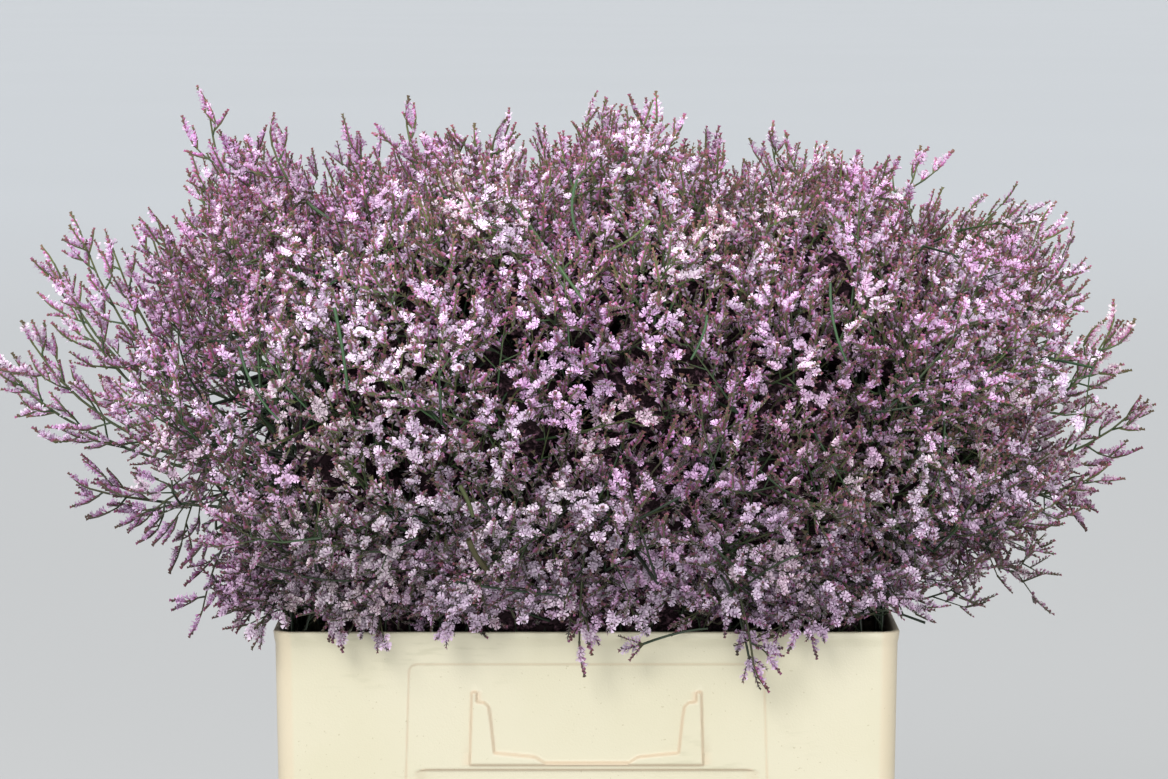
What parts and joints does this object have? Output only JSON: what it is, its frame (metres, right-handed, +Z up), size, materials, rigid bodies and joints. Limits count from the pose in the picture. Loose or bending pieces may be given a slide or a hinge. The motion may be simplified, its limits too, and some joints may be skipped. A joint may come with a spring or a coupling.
{
  "type": "dried statice in a flower container",
  "caption": "Packed cloud of dried statice sprays with small lilac flower spikes, standing on their stems in an open rectangular plastic container.",
  "frame": {"origin": "middle of the container's underside, on the surface that it stands on", "axes": "+Z up out of the container's mouth, X along its long sides, -Y towards the viewer"},
  "size_m": [0.7738, 0.563, 0.7513],
  "materials": {
    "container_plastic": "satin",
    "dried_statice": "matte"
  },
  "bodies": {
    "root": {"flower_container": "container_plastic", "spray_01": "dried_statice", "spray_02": "dried_statice", "spray_03": "dried_statice", "spray_04": "dried_statice", "spray_05": "dried_statice", "spray_06": "dried_statice", "spray_07": "dried_statice", "spray_08": "dried_statice", "spray_09": "dried_statice", "spray_10": "dried_statice", "spray_11": "dried_statice", "spray_12": "dried_statice", "spray_13": "dried_statice", "spray_14": "dried_statice", "spray_15": "dried_statice", "spray_16": "dried_statice", "spray_17": "dried_statice", "spray_18": "dried_statice", "spray_19": "dried_statice", "spray_20": "dried_statice", "spray_21": "dried_statice", "spray_22": "dried_statice", "spray_23": "dried_statice", "spray_24": "dried_statice", "spray_25": "dried_statice", "spray_26": "dried_statice", "spray_27": "dried_statice", "spray_28": "dried_statice", "spray_29": "dried_statice", "spray_30": "dried_statice"}
  },
  "joints": []
}
